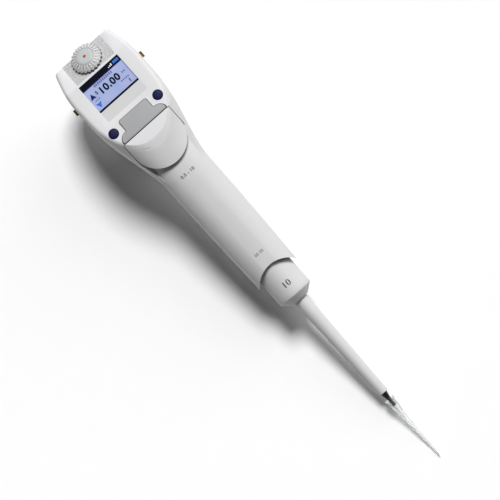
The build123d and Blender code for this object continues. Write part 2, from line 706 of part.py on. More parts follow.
# ------------------------------------------------------------------ assembly
def pieces():
    return {
        "front_cover": front_cover(),
        "rear_housing": rear_housing(),
        "face_bezel": face_bezel(),
        "finger_hook": finger_hook(),
        "housing_screws": housing_screws(),
        "battery_cover": battery_cover(),
        "display_window": display_window(),
        "display_module": display_module(),
        "display_strip": display_strip(),
        "dial_panel": dial_panel(),
        "selector_dial": selector_dial(),
        "dial_encoder": dial_encoder(),
        "left_soft_key": soft_key(-1),
        "right_soft_key": soft_key(1),
        "rocker_key": rocker_key(),
        "rocker_pin": rocker_pin(),
        "pin_brackets": pin_brackets(),
        "circuit_board": circuit_board(),
        "key_switches": key_switches(),
        "buzzer": buzzer(),
        "battery": battery(),
        "battery_tray": battery_tray(),
        "battery_contacts": battery_contacts(),
        "left_charge_contact": charge_contact(-1),
        "right_charge_contact": charge_contact(1),
        "ejector_button": ejector_button(),
        "ejector_crest": ejector_crest(),
        "ejector_rod": ejector_rod(),
        "ejector_collar": ejector_collar(),
        "ejector_sleeve": ejector_sleeve(),
        "ejector_spring": ejector_spring(),
        "tip_cone": tip_cone(),
        "pipette_tip": pipette_tip(),
        "piston": piston(),
        "piston_plate": piston_plate(),
        "piston_seal": piston_seal(),
        "piston_spring": piston_spring(),
        "push_rod": push_rod(),
        "drive_nut": drive_nut(),
        "lead_screw": lead_screw(),
        "motor_rotor": motor_rotor(),
        "motor_case": motor_case(),
        "motor_bearings": motor_bearings(),
        "chassis": chassis(),
    }


def main():
    os.makedirs("parts", exist_ok=True)
    made = pieces()
    laid = Rot(degrees(TILT) - 90, 0, 0)
    placed = {name: laid * piece for name, piece in made.items()}
    boxes = [piece.bounding_box() for piece in placed.values()]
    low_y = min(box.min.Y for box in boxes)
    high_y = max(box.max.Y for box in boxes)
    low_z = min(box.min.Z for box in boxes)
    shift = Pos(0, -(low_y + high_y) / 2, -low_z)
    for name, piece in placed.items():
        export_step(shift * piece, f"parts/{name}.step")
    places = {
        "dial": FACET * Pos(0, DIAL_UP, 0),
        "rocker": FACE * Pos(0, ROCKER_PIVOT_UP, -ROCKER_PIVOT_DEPTH),
        "heel": Pos(0, TIP_END_RADIUS + 221 * tan(TILT), 221),
        "axis": Pos(0, 0, 150),
    }
    for name, place in places.items():
        print(name, (shift * laid * place).position)
    print("axis direction", Vector(0, 0, 1).rotate(Axis.X, degrees(TILT) - 90))


main()
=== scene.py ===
import bpy
import bmesh
import json
import math
from mathutils import Euler, Matrix, Quaternion, Vector


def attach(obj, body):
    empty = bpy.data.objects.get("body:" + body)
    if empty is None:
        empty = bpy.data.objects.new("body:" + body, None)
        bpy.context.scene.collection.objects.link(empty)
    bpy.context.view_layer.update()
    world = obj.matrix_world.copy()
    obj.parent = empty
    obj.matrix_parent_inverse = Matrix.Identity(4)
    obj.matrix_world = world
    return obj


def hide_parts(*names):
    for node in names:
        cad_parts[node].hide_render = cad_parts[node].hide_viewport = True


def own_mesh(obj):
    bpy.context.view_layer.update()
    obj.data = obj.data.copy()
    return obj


# Looks of the electronic pipette. It lies on its back, +Y towards the head, +Z up.
# Lengths are in millimetres and turned into metres by MM. Heights on the axis start at the tip's end.
MM = 0.001

# The leaning face, the rocker and the keys.
FACE_START = 227.7
FACE_LEAN = 13.0
ROCKER_PIVOT_UP = 4.6
ROCKER_PIVOT_DEPTH = 3.6
ROCKER_HALF_WIDTH = 9.1
ROCKER_FOOT = -0.5
ROCKER_CORNER = 1.2
ROCKER_BACK = -2.2
ROCKER_PROUD = 0.7
KEY_SPACING = 15.0

# The display.
SCREEN_HALF_WIDTH = 13.1
SCREEN_LOW = 20.32
SCREEN_HIGH = 38.28
SCREEN_FIELD = (21.45, 34.5)
SCREEN_TOP = -0.15
PRINT_LIFT = 0.03

# The dial.
DIAL_RADIUS = 8.7
DIAL_FOOT_HEIGHT = 0.3
DIAL_TOP = 3.4
SCALLOPS = 24
SCALLOP_DEPTH = 0.7

# The tip and the ejector spring.
TIP_LENGTH = 40.0
TIP_FINS = 8
SPRING_RADIUS = 7.6
SPRING_WIRE = 0.4
SPRING_TURNS = 9
SPRING_LOW = 117.0
SPRING_HIGH = 142.0

# The camera: where it aims, in the axis frame, and how it looks there.
CAMERA_AIM = (-2.6, -1.7, 144.7)
CAMERA_DISTANCE = 1.2057
CAMERA_AZIMUTH = 7.78
CAMERA_ELEVATION = 81.07
CAMERA_ROLL = -49.31
CAMERA_LENS = 168.8
FLOOR_HALF_SIZE = 12.0

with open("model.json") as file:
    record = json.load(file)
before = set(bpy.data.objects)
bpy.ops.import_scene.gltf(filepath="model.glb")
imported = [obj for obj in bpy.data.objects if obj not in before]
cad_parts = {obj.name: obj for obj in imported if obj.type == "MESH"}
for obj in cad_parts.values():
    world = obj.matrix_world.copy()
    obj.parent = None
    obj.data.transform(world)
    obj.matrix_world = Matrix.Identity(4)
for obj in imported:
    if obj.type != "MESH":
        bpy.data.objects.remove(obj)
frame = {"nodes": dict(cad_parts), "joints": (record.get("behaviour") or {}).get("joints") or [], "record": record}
nodes = frame["nodes"]
joints = {joint["name"]: joint for joint in frame["joints"]}
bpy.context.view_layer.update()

# Places and directions read from the frame.
ACROSS = Vector((1, 0, 0))
AXIS_UP = Vector(joints["screw_turn"]["axis"]).normalized()
AXIS_BACK = AXIS_UP.cross(ACROSS).normalized()
AXIS_POINT = Vector(joints["screw_turn"]["pos_m"])
AXIS_POINT_HEIGHT = 190.0
FACE_OUT = -Vector(joints["left_key_press"]["axis"]).normalized()
FACE_UP = FACE_OUT.cross(ACROSS).normalized()
FACE_FOOT = (
    Vector(joints["rocker_tilt"]["pos_m"])
    - FACE_UP * ROCKER_PIVOT_UP * MM
    + FACE_OUT * ROCKER_PIVOT_DEPTH * MM
)
DIAL_OUT = Vector(joints["dial_turn"]["axis"]).normalized()
DIAL_UP = DIAL_OUT.cross(ACROSS).normalized()
DIAL_FOOT = Vector(joints["dial_turn"]["pos_m"])


def local_frame(origin, second, third):
    """A matrix in millimetres whose X is across, with the given Y and Z directions."""
    matrix = Matrix((ACROSS, second, third)).transposed().to_4x4()
    return Matrix.Translation(origin) @ matrix @ Matrix.Scale(MM, 4)


# FACE and DIAL have Y up the surface and Z out of it; AXIS has Y to the back and Z up the pipette.
FACE = local_frame(FACE_FOOT, FACE_UP, FACE_OUT)
DIAL = local_frame(DIAL_FOOT, DIAL_UP, DIAL_OUT)
AXIS = local_frame(AXIS_POINT - AXIS_UP * AXIS_POINT_HEIGHT * MM, AXIS_BACK, AXIS_UP)


# ------------------------------------------------------------------ materials
def new_material(name):
    material = bpy.data.materials.new(name)
    material.use_nodes = True
    return material, material.node_tree.nodes, material.node_tree.links


def moulded(name, color, rough=0.4, grain=1.2, bump=0.05, blotch=0.03, **sockets):
    """Moulded plastic: fine spark-eroded grain, slight cloudiness and uneven gloss."""
    material, tree, link = new_material(name)
    shader = tree["Principled BSDF"]
    place = tree.new("ShaderNodeTexCoord")
    clouds = tree.new("ShaderNodeTexNoise")
    clouds.inputs["Scale"].default_value = 60
    clouds.inputs["Detail"].default_value = 4
    link.new(place.outputs["Object"], clouds.inputs["Vector"])
    ramp = tree.new("ShaderNodeValToRGB")
    ramp.color_ramp.elements[0].position = 0.3
    ramp.color_ramp.elements[1].position = 0.7
    ramp.color_ramp.elements[0].color = [c * (1 - blotch) for c in color] + [1]
    ramp.color_ramp.elements[1].color = [min(1, c * (1 + blotch)) for c in color] + [1]
    link.new(clouds.outputs["Fac"], ramp.inputs["Fac"])
    link.new(ramp.outputs["Color"], shader.inputs["Base Color"])
    gloss = tree.new("ShaderNodeMapRange")
    gloss.inputs["To Min"].default_value = rough - 0.05
    gloss.inputs["To Max"].default_value = rough + 0.07
    link.new(clouds.outputs["Fac"], gloss.inputs["Value"])
    link.new(gloss.outputs["Result"], shader.inputs["Roughness"])
    fine = tree.new("ShaderNodeTexNoise")
    fine.inputs["Scale"].default_value = 1 / (grain * 0.25 * MM)
    fine.inputs["Detail"].default_value = 3
    link.new(place.outputs["Object"], fine.inputs["Vector"])
    relief = tree.new("ShaderNodeBump")
    relief.inputs["Strength"].default_value = bump
    relief.inputs["Distance"].default_value = 0.05 * MM
    link.new(fine.outputs["Fac"], relief.inputs["Height"])
    link.new(relief.outputs["Normal"], shader.inputs["Normal"])
    for socket, value in sockets.items():
        shader.inputs[socket.replace("_", " ")].default_value = value
    return material


def metal(name, color, rough=0.28, stretch=(1, 30, 30)):
    """Machined metal with fine lines along one direction."""
    material, tree, link = new_material(name)
    shader = tree["Principled BSDF"]
    shader.inputs["Metallic"].default_value = 1
    place = tree.new("ShaderNodeTexCoord")
    mapping = tree.new("ShaderNodeMapping")
    mapping.inputs["Scale"].default_value = stretch
    link.new(place.outputs["Object"], mapping.inputs["Vector"])
    lines = tree.new("ShaderNodeTexNoise")
    lines.inputs["Scale"].default_value = 300
    lines.inputs["Detail"].default_value = 5
    link.new(mapping.outputs["Vector"], lines.inputs["Vector"])
    ramp = tree.new("ShaderNodeValToRGB")
    ramp.color_ramp.elements[0].color = [c * 0.86 for c in color] + [1]
    ramp.color_ramp.elements[1].color = [min(1, c * 1.06) for c in color] + [1]
    link.new(lines.outputs["Fac"], ramp.inputs["Fac"])
    link.new(ramp.outputs["Color"], shader.inputs["Base Color"])
    gloss = tree.new("ShaderNodeMapRange")
    gloss.inputs["To Min"].default_value = rough - 0.08
    gloss.inputs["To Max"].default_value = rough + 0.12
    link.new(lines.outputs["Fac"], gloss.inputs["Value"])
    link.new(gloss.outputs["Result"], shader.inputs["Roughness"])
    relief = tree.new("ShaderNodeBump")
    relief.inputs["Strength"].default_value = 0.15
    relief.inputs["Distance"].default_value = 0.02 * MM
    link.new(lines.outputs["Fac"], relief.inputs["Height"])
    link.new(relief.outputs["Normal"], shader.inputs["Normal"])
    return material


def speckled_foil():
    """The finely grained grey panel round the dial and under the display."""
    material = moulded("panel_grain", (0.46, 0.46, 0.465), 0.55, 1.0, 0.12, Specular_IOR_Level=0.3)
    tree, link = material.node_tree.nodes, material.node_tree.links
    shader = tree["Principled BSDF"]
    place = tree.new("ShaderNodeTexCoord")
    cells = tree.new("ShaderNodeTexVoronoi")
    cells.inputs["Scale"].default_value = 1 / (0.42 * MM)
    link.new(place.outputs["Object"], cells.inputs["Vector"])
    ramp = tree.new("ShaderNodeValToRGB")
    ramp.color_ramp.elements[0].position = 0.15
    ramp.color_ramp.elements[1].position = 0.6
    ramp.color_ramp.elements[0].color = (0.24, 0.24, 0.25, 1)
    ramp.color_ramp.elements[1].color = (0.54, 0.54, 0.545, 1)
    link.new(cells.outputs["Distance"], ramp.inputs["Fac"])
    link.new(ramp.outputs["Color"], shader.inputs["Base Color"])
    return material


def lit_screen():
    """The display's backlit field: a faint pixel grid over blue to lavender."""
    material, tree, link = new_material("screen_field")
    shader = tree["Principled BSDF"]
    place = tree.new("ShaderNodeTexCoord")
    tint = tree.new("ShaderNodeTexNoise")
    tint.inputs["Scale"].default_value = 90
    link.new(place.outputs["Object"], tint.inputs["Vector"])
    ramp = tree.new("ShaderNodeValToRGB")
    ramp.color_ramp.elements[0].position = 0.35
    ramp.color_ramp.elements[1].position = 0.65
    ramp.color_ramp.elements[0].color = (0.27, 0.34, 0.58, 1)
    ramp.color_ramp.elements[1].color = (0.36, 0.40, 0.62, 1)
    link.new(tint.outputs["Fac"], ramp.inputs["Fac"])
    pixels = tree.new("ShaderNodeTexChecker")
    pixels.inputs["Scale"].default_value = 1 / (0.16 * MM)
    pixels.inputs["Color1"].default_value = (1, 1, 1, 1)
    pixels.inputs["Color2"].default_value = (0.93, 0.94, 0.97, 1)
    link.new(place.outputs["Object"], pixels.inputs["Vector"])
    mix = tree.new("ShaderNodeMix")
    mix.data_type = "RGBA"
    mix.blend_type = "MULTIPLY"
    mix.inputs["Factor"].default_value = 1
    link.new(ramp.outputs["Color"], mix.inputs["A"])
    link.new(pixels.outputs["Color"], mix.inputs["B"])
    link.new(mix.outputs["Result"], shader.inputs["Base Color"])
    link.new(mix.outputs["Result"], shader.inputs["Emission Color"])
    shader.inputs["Emission Strength"].default_value = 0.14
    shader.inputs["Roughness"].default_value = 0.25
    shader.inputs["Specular IOR Level"].default_value = 0.3
    return material


def clear_polymer():
    """Thin clear polypropylene, slightly milky."""
    material = moulded("clear_polypropylene", (0.93, 0.94, 0.95), 0.12, 2.0, 0.01, 0.02)
    shader = material.node_tree.nodes["Principled BSDF"]
    shader.inputs["Transmission Weight"].default_value = 0.95
    shader.inputs["IOR"].default_value = 1.4
    shader.inputs["Alpha"].default_value = 0.55
    return material


def board_mask():
    """Green solder resist with a pattern of copper tracks under it."""
    material = moulded("board_mask", (0.02, 0.16, 0.07), 0.3, 1.0, 0.05)
    tree, link = material.node_tree.nodes, material.node_tree.links
    place = tree.new("ShaderNodeTexCoord")
    tracks = tree.new("ShaderNodeTexBrick")
    tracks.inputs["Scale"].default_value = 400
    tracks.inputs["Color1"].default_value = (0.02, 0.16, 0.07, 1)
    tracks.inputs["Color2"].default_value = (0.03, 0.21, 0.09, 1)
    tracks.inputs["Mortar"].default_value = (0.08, 0.30, 0.12, 1)
    link.new(place.outputs["Object"], tracks.inputs["Vector"])
    link.new(tracks.outputs["Color"], tree["Principled BSDF"].inputs["Base Color"])
    return material


MATERIALS = {
    "white_plastic": moulded(
        "bezel_white", (0.66, 0.66, 0.67), 0.55, 1.0, 0.03, 0.01, Specular_IOR_Level=0.3
    ),
    "grey_plastic": moulded(
        "handle_grey", (0.60, 0.60, 0.605), 0.5, 1.2, 0.10, 0.015, Specular_IOR_Level=0.35
    ),
    "key_grey": moulded("rocker_grey", (0.34, 0.345, 0.35), 0.6, 1.4, 0.18, 0.02, Specular_IOR_Level=0.3),
    "navy_plastic": moulded("key_navy", (0.005, 0.007, 0.055), 0.5, 1.0, 0.06, 0.05, Specular_IOR_Level=0.12),
    "silver_foil": speckled_foil(),
    "dark_polymer": moulded(
        "cone_black", (0.012, 0.012, 0.014), 0.25, 2.0, 0.02, 0.05, Specular_IOR_Level=1.0
    ),
    "clear_polymer": clear_polymer(),
    "display_glass": lit_screen(),
    "board_green": board_mask(),
    "black_plastic": moulded("inner_black", (0.015, 0.015, 0.016), 0.5, 1.2, 0.15, 0.05),
    "steel": metal("bright_steel", (0.56, 0.57, 0.58)),
    "gold_contact": metal("gold_plate", (0.83, 0.56, 0.16), 0.22),
    "battery_wrap": moulded("battery_film", (0.10, 0.14, 0.20), 0.25, 3.0, 0.10, 0.08),
    "seal_rubber": moulded("seal_rubber", (0.02, 0.02, 0.02), 0.7, 1.0, 0.2, 0.05),
    "aluminium": metal("milled_aluminium", (0.74, 0.75, 0.77), 0.32, (20, 1, 20)),
}
STRIP = moulded("strip_silver", (0.57, 0.57, 0.575), 0.5, 1.6, 0.05, 0.02, Specular_IOR_Level=0.3)
# The dial's one white plastic in two copies: the knob is darkened with painted shade between the ridges, and the
# ridges are the lighter copy, a painted highlight.
DIAL_SHADED_WHITE = moulded("dial_white_painted_shade", (0.38, 0.38, 0.385), 0.45, 1.0, 0.04, 0.02)
DIAL_RIDGE_LIT = moulded("dial_ridge", (0.60, 0.60, 0.605), 0.4, 1.0, 0.04, 0.02)
DIAL_CAP = moulded("dial_cap", (0.44, 0.48, 0.47), 0.4, 1.4, 0.05, 0.02)
PRINT_GREY = moulded("print_grey", (0.02, 0.02, 0.022), 0.6, 1.0, 0.05, 0.05)
PRINT_SOFT = moulded("print_soft", (0.20, 0.20, 0.205), 0.5, 1.0, 0.05, 0.05)
PRINT_BLACK = moulded("print_black", (0.004, 0.004, 0.012), 0.6, 1.0, 0.03, 0.05, Specular_IOR_Level=0.03)
PRINT_NAVY = moulded("print_navy", (0.010, 0.015, 0.13), 0.6, 1.0, 0.03, 0.05, Specular_IOR_Level=0.08)
PRINT_BLUE = moulded("print_blue", (0.03, 0.16, 0.55), 0.6, 1.0, 0.03, 0.05, Specular_IOR_Level=0.1)
PRINT_PALE = moulded("print_pale", (0.10, 0.13, 0.30), 0.6, 1.0, 0.03, 0.05, Specular_IOR_Level=0.1)
PRINT_WHITE = moulded("print_white", (0.75, 0.77, 0.8), 0.5, 1.0, 0.03, 0.02)
DOT_RED = moulded("dot_red", (0.55, 0.02, 0.02), 0.35, 1.0, 0.03, 0.05)


# -------------------------------------------------------------- mesh building
def finish_mesh(name, mesh, material, body, smooth_angle=35):
    piece = bpy.data.objects.new(name, mesh)
    bpy.context.scene.collection.objects.link(piece)
    mesh.materials.clear()
    mesh.materials.append(material)
    mesh.shade_smooth()
    mesh.set_sharp_from_angle(angle=math.radians(smooth_angle))
    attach(piece, body)
    return piece


def bake(name, build, matrix, material, body, bevel=0.0, segments=3):
    """A piece from a bmesh in millimetres, with its sharp edges rounded."""
    build.normal_update()
    if bevel:
        edges = [e for e in build.edges if e.is_manifold and e.calc_face_angle(0) > math.radians(35)]
        bmesh.ops.bevel(
            build, geom=edges, offset=bevel, segments=segments, profile=0.5,
            affect="EDGES", clamp_overlap=True,
        )
    bmesh.ops.recalc_face_normals(build, faces=build.faces)
    mesh = bpy.data.meshes.new(name)
    build.to_mesh(mesh)
    build.free()
    mesh.transform(matrix)
    return finish_mesh(name, mesh, material, body)


def prism(outline, low, high):
    """A straight-sided solid from an outline of (x, y) points."""
    build = bmesh.new()
    bottom = [build.verts.new((x, y, low)) for x, y in outline]
    top = [build.verts.new((x, y, high)) for x, y in outline]
    build.faces.new(bottom[::-1])
    build.faces.new(top)
    for i in range(len(outline)):
        j = (i + 1) % len(outline)
        build.faces.new((bottom[i], bottom[j], top[j], top[i]))
    return build


def skin(build, rings, count):
    """Faces between neighbouring rings; a ring of one vertex is a point."""
    for lower, upper in zip(rings, rings[1:]):
        for i in range(count):
            j = (i + 1) % count
            near = [lower[i % len(lower)], lower[j % len(lower)]]
            far = [upper[j % len(upper)], upper[i % len(upper)]]
            corners = list(dict.fromkeys(near + far))
            if len(corners) > 2:
                build.faces.new(corners)


def lathe(profile, segments=64, reach=None):
    """A turned solid from (radius, height) points; reach(angle, radius) may change the radius."""
    build = bmesh.new()
    rings = []
    for radius, height in profile:
        if radius < 1e-6:
            rings.append([build.verts.new((0, 0, height))])
            continue
        ring = []
        for i in range(segments):
            angle = 2 * math.pi * i / segments
            r = reach(angle, radius) if reach else radius
            ring.append(build.verts.new((r * math.cos(angle), r * math.sin(angle), height)))
        rings.append(ring)
    skin(build, rings, segments)
    return build


def rectangle(x, y):
    return [(x[0], y[0]), (x[1], y[0]), (x[1], y[1]), (x[0], y[1])]


def text_build(body, size, bold=0.0, depth=0.02, spacing=1.0):
    """Numerals as a bmesh, centred, in the XY plane."""
    curve = bpy.data.curves.new("numerals", "FONT")
    curve.body = body
    curve.size = size
    curve.offset = bold
    curve.extrude = depth
    curve.space_character = spacing
    curve.align_x = "CENTER"
    curve.align_y = "CENTER"
    holder = bpy.data.objects.new("numerals", curve)
    bpy.context.scene.collection.objects.link(holder)
    bpy.context.view_layer.update()
    mesh = bpy.data.meshes.new_from_object(holder)
    bpy.data.objects.remove(holder)
    bpy.data.curves.remove(curve)
    build = bmesh.new()
    build.from_mesh(mesh)
    bpy.data.meshes.remove(mesh)
    return build


RAY_START = 12.0
PRINT_SINK = 0.01


def on_surface(build, matrix, target, lift):
    """Drops a flat print on to a curved node, along the print's own normal."""
    inverse = matrix.inverted()
    out = (matrix.to_3x3() @ Vector((0, 0, 1))).normalized()
    for vertex in build.verts:
        start = matrix @ Vector((vertex.co.x, vertex.co.y, RAY_START))
        hit, place = target.ray_cast(start, -out)[:2]
        if hit:
            height = (inverse @ place).z
            vertex.co.z = height + (lift if vertex.co.z > 0 else -PRINT_SINK)
    return build


def refined(node, body, width, slot, angle=30):
    """The CAD shell with its sharp edges softened by a small moulded radius."""
    source = nodes[node]
    build = bmesh.new()
    build.from_mesh(source.data)
    bmesh.ops.remove_doubles(build, verts=build.verts, dist=0.002 * MM)
    bmesh.ops.dissolve_degenerate(build, dist=0.001 * MM, edges=build.edges)
    mesh = bpy.data.meshes.new(node + "_soft")
    build.to_mesh(mesh)
    build.free()
    piece = finish_mesh(node + "_shell", mesh, MATERIALS[slot], body, angle)
    modifier = piece.modifiers.new("edges", "BEVEL")
    modifier.width = width * MM
    modifier.segments = 2
    modifier.limit_method = "ANGLE"
    modifier.angle_limit = math.radians(angle)
    modifier.use_clamp_overlap = True
    modifier.harden_normals = True
    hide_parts(node)
    return piece


# --------------------------------------------------------- materials on nodes
record_slots = {part["node"]: part["material_slot"] for part in frame["record"]["subparts"]}
for node_name, cad in nodes.items():
    for i in range(len(cad.material_slots)):
        cad.material_slots[i].material = MATERIALS[record_slots[node_name]]
nodes["display_strip"].material_slots[0].material = STRIP


# ---------------------------------------------------------------- the display
def screen_patch(name, outline, material, lift=PRINT_LIFT):
    """A printed area on the screen."""
    build = prism(outline, SCREEN_TOP - 0.02, SCREEN_TOP + lift)
    return bake(name, build, FACE, material, "housing")


def screen_text(name, body, size, x, y, material, bold=0.0, spacing=1.0):
    build = text_build(body, size, bold, 0.02, spacing)
    place = FACE @ Matrix.Translation((x, y, SCREEN_TOP + 0.05))
    return bake(name, build, place, material, "housing")


def arrow(x, y, half, height):
    """An arrowhead with a slightly hollow foot; a negative height points down."""
    return [(x - half, y), (x, y + height * 0.12), (x + half, y), (x, y + height)]


def screen_band(name, low, high, material):
    """An area over the screen's full width."""
    screen_patch(name, rectangle((-SCREEN_HALF_WIDTH, SCREEN_HALF_WIDTH), (low, high)), material)


# Plain bars stand where the real screen has words: left, right, low, high.
WORD_BARS = [
    (-6.6, 5.6, 32.7, 34.2),
    (-11.0, -7.6, 26.6, 27.2),
    (5.6, 11.0, 25.4, 26.2),
    (8.8, 11.2, 28.8, 29.8),
]
LETTER_PITCH = 1.1
LETTER_FILL = 0.62


def build_words():
    for i, (left, right, low, high) in enumerate(WORD_BARS):
        count = max(2, round((right - left) / LETTER_PITCH))
        pitch = (right - left) / count
        for k in range(count):
            x = left + pitch * k
            patch = rectangle((x, x + LETTER_FILL * pitch), (low, high))
            screen_patch(f"screen_bar_{i}_{k}", patch, PRINT_PALE)


def build_display():
    low, high = SCREEN_FIELD
    screen_band("screen_status_bar", high + 0.4, SCREEN_HIGH, PRINT_BLACK)
    screen_band("screen_status_fade", high, high + 0.4, PRINT_NAVY)
    screen_band("screen_foot_line", SCREEN_LOW, low, PRINT_BLACK)
    screen_patch("screen_side_line", rectangle((12.75, SCREEN_HALF_WIDTH), (low, high)), PRINT_PALE, 0.035)
    screen_patch("screen_battery", rectangle((8.6, 12.2), (35.7, 37.2)), PRINT_BLUE, 0.05)
    for i in range(3):
        x = 5.2 + 0.95 * i
        bar = rectangle((x, x + 0.6), (35.7, 36.2 + 0.4 * i))
        screen_patch(f"screen_signal_{i}", bar, PRINT_WHITE, 0.05)
    screen_text("screen_volume", "10.00", 5.4, 0.3, 29.1, PRINT_BLACK, 0.2, 1.12)
    screen_patch("screen_up_arrow", arrow(-10.8, 28.2, 1.75, 3.4), PRINT_NAVY)
    screen_patch("screen_down_arrow", arrow(-10.4, 25.5, 1.75, -3.2), PRINT_BLUE)
    build_words()
    screen_text("screen_step", "1", 2.8, 9.6, 23.4, PRINT_BLACK, 0.07)
    screen_text("screen_speed", "5", 2.6, -7.7, 30.0, PRINT_BLACK, 0.07)


build_display()


# ------------------------------------------------------------------- the dial
def scallop(angle, radius):
    """A hand-grip rim: round hollows between narrow teeth."""
    if radius < DIAL_RADIUS - 0.5:
        return radius
    wave = abs(math.cos(angle * SCALLOPS / 2))
    return radius - SCALLOP_DEPTH * wave ** 3


def dial_part(name, profile, material, segments):
    """A turned piece of the dial."""
    return bake(name, lathe(profile, segments), DIAL, material, "dial")


def build_dial_skirt():
    """Raised ridges and small numbers on the dial's sloping skirt."""
    slope = Matrix.Rotation(-math.atan2(1.6, 3.0), 4, "X")
    step = 2 * math.pi / SCALLOPS
    for i in range(SCALLOPS):
        turn = Matrix.Rotation(step * (i + 0.5), 4, "Z")
        place = DIAL @ turn @ Matrix.Translation((0, 6.4, 2.48)) @ slope
        ridge = prism(rectangle((-0.38, 0.38), (-1.3, 1.6)), -0.1, 0.22)
        # The ridges take the lighter copy of the dial's white: painted highlight.
        bake(f"dial_ridge_{i}", ridge, place, DIAL_RIDGE_LIT, "dial", 0.12, 2)
        if i % 2:
            turn = Matrix.Rotation(step * i, 4, "Z")
            place = DIAL @ turn @ Matrix.Translation((0, 6.0, 2.72)) @ slope
            number = text_build(str(i // 2 + 1), 1.05, 0.03, 0.02)
            bake(f"dial_number_{i // 2 + 1}", number, place, PRINT_GREY, "dial")


def build_dial():
    profile = [
        (0, DIAL_FOOT_HEIGHT), (8.0, DIAL_FOOT_HEIGHT), (8.3, 0.34), (DIAL_RADIUS, 0.6), (DIAL_RADIUS, 1.35),
        (8.55, 1.55), (8.1, 1.64), (7.9, 1.68), (4.95, 3.28), (4.75, 3.37), (4.55, DIAL_TOP), (0, DIAL_TOP),
    ]
    # The knob takes the darkened copy of the dial's white: painted shade between the ridges.
    knob = bake("dial_knob", lathe(profile, 288, scallop), DIAL, DIAL_SHADED_WHITE, "dial")
    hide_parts("selector_dial")
    shaft = [(0, -4.5), (1.7, -4.5), (1.9, -4.3), (1.9, 0.35), (0, 0.35)]
    dial_part("dial_shaft", shaft, MATERIALS["white_plastic"], 48)
    cap = [(0, 3.36), (4.3, 3.36), (4.3, 3.42), (4.15, 3.48), (3.0, 3.5), (0, 3.52)]
    dial_part("dial_cap", cap, DIAL_CAP, 96)
    dot = [(0, 3.45), (0.9, 3.45), (0.9, 3.54), (0.78, 3.6), (0, 3.63)]
    dial_part("dial_dot", dot, DOT_RED, 32)
    build_dial_skirt()


build_dial()


# ------------------------------------------------------------------- the keys
def up_face(height):
    """Distance up the leaning face for a height on the axis."""
    return (height - FACE_START) / math.cos(math.radians(FACE_LEAN))


KEY_UP = up_face(235.1)
ROCKER_TOP = up_face(238.1)
ROCKER_NOTCH = up_face(231.6)


def build_soft_keys():
    for side, node, body in ((-1, "left_soft_key", "left_key"), (1, "right_soft_key", "right_key")):
        profile = [
            (0, -5.0), (1.2, -5.0), (1.3, -4.9), (1.3, -3.0), (3.4, -3.0), (3.4, -2.2), (2.7, -2.2),
            (2.7, 0.0), (2.62, 0.2), (2.4, 0.38), (1.8, 0.52), (0.9, 0.58), (0, 0.6),
        ]
        place = FACE @ Matrix.Translation((side * KEY_SPACING, KEY_UP, 0))
        key = bake(node + "_cap", lathe(profile, 72), place, MATERIALS["navy_plastic"], body)
        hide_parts(node)


def arc(start, middle, end, count):
    """Points on the circle through three points, ends included."""
    ax, ay = start
    bx, by = middle
    cx, cy = end
    d = 2 * (ax * (by - cy) + bx * (cy - ay) + cx * (ay - by))
    ux = ((ax**2 + ay**2) * (by - cy) + (bx**2 + by**2) * (cy - ay) + (cx**2 + cy**2) * (ay - by)) / d
    uy = ((ax**2 + ay**2) * (cx - bx) + (bx**2 + by**2) * (ax - cx) + (cx**2 + cy**2) * (bx - ax)) / d
    radius = math.hypot(ax - ux, ay - uy)
    a0 = math.atan2(ay - uy, ax - ux)
    a1 = math.atan2(cy - uy, cx - ux)
    am = math.atan2(by - uy, bx - ux)
    if (a1 - a0) % (2 * math.pi) < (am - a0) % (2 * math.pi):
        sweep = (a1 - a0) % (2 * math.pi) - 2 * math.pi
    else:
        sweep = (a1 - a0) % (2 * math.pi)
    return [
        (ux + radius * math.cos(a0 + sweep * k / count), uy + radius * math.sin(a0 + sweep * k / count))
        for k in range(count + 1)
    ]


def rocker_outline():
    """Right half from the foot up, mirrored for the left."""
    right = [(13.35, ROCKER_FOOT), (13.8, ROCKER_FOOT + 0.1), (14.1, ROCKER_FOOT + 0.4), (14.2, 0.25)]
    right += arc((14.16, 0.55), (13.2, 2.7), (9.7, ROCKER_NOTCH - 0.05), 14)
    right += [(9.15, ROCKER_NOTCH + 0.2)]
    centre = (ROCKER_HALF_WIDTH - ROCKER_CORNER, ROCKER_TOP - ROCKER_CORNER)
    for k in range(7):
        angle = math.pi / 2 * k / 6
        x = centre[0] + ROCKER_CORNER * math.cos(angle)
        right.append((x, centre[1] + ROCKER_CORNER * math.sin(angle)))
    return right + [(-x, y) for x, y in reversed(right)]


def build_rocker():
    grey = MATERIALS["key_grey"]
    cap = prism(rocker_outline(), ROCKER_BACK, ROCKER_PROUD)
    key = bake("rocker_cap", cap, FACE, grey, "rocker", 0.32, 4)
    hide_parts("rocker_key")
    half_lug = 1.5
    sides = (ROCKER_PIVOT_UP - half_lug, ROCKER_PIVOT_UP + half_lug)
    lugs = prism(rectangle((-7, 7), sides), -4.9, ROCKER_BACK)
    bake("rocker_lugs", lugs, FACE, grey, "rocker", 0.2, 2)
    for name, up in (("low", 2.0), ("high", 8.4)):
        foot = lathe([(0, -4.6), (0.95, -4.6), (1.1, -4.45), (1.1, ROCKER_BACK), (0, ROCKER_BACK)], 32)
        place = FACE @ Matrix.Translation((0, up, 0))
        bake("rocker_foot_" + name, foot, place, grey, "rocker")


build_soft_keys()
build_rocker()


